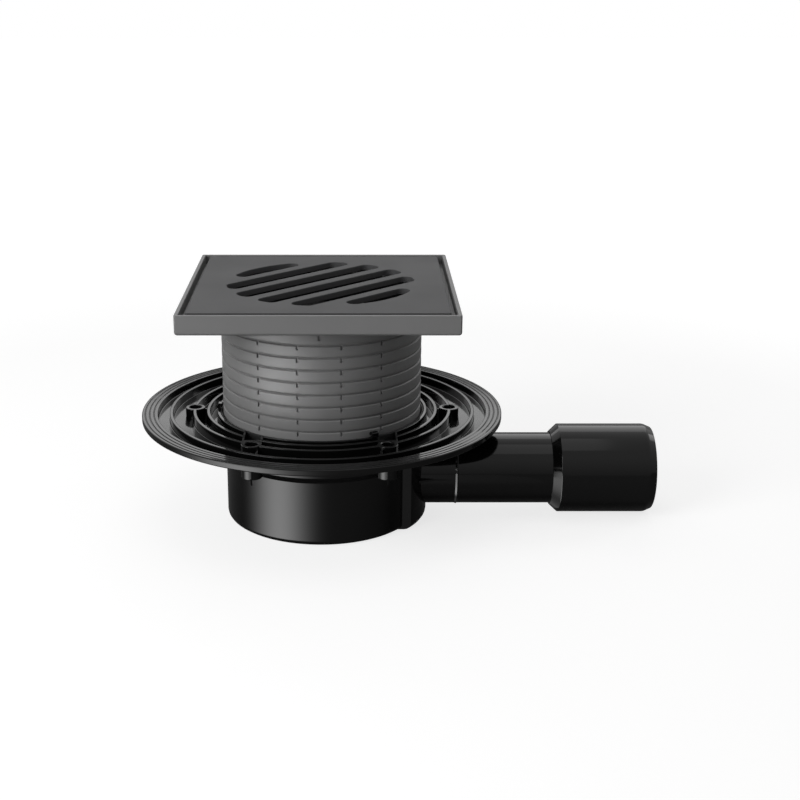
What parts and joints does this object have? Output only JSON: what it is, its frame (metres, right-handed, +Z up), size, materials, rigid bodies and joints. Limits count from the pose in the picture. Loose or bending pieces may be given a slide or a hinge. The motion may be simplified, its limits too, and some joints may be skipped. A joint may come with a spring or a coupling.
{
  "type": "gully trap",
  "caption": "Floor gully with a square slotted grate, ringed height-adjustable riser, ribbed sealing flange, lift-out water trap and horizontal outlet with reducer.",
  "frame": {"origin": "on the riser's axis, at the underside of the bowl", "axes": "+X along the outlet, away from the bowl; +Z up, out of the grate"},
  "size_m": [0.2863, 0.2006, 0.133],
  "materials": {
    "body_black": "glossy black moulded plastic",
    "riser_grey": "satin grey moulded plastic",
    "frame_grey": "fine matt dark grey plastic",
    "grate_graphite": "matt graphite powder coat",
    "seal_rubber": "black rubber",
    "insert_black": "satin black moulded plastic"
  },
  "bodies": {
    "base": {"body": "body_black", "riser_seal": "seal_rubber", "reducer": "body_black", "reducer_seal": "seal_rubber", "dip_tube": "insert_black", "insert_seal": "seal_rubber", "trap_cup": "insert_black"},
    "riser": {"riser": "riser_grey"},
    "frame": {"frame": "frame_grey", "grate": "grate_graphite"}
  },
  "joints": [
    {"name": "riser_slide", "type": "slide", "parent": "base", "child": "riser", "axis": [0, 0, 1], "range_m": [-0.0065, 0.0075]},
    {"name": "frame_turn", "type": "hinge", "parent": "riser", "child": "frame", "pos_m": [0, 0, 0.125], "axis": [0, 0, 1], "continuous": true}
  ]
}
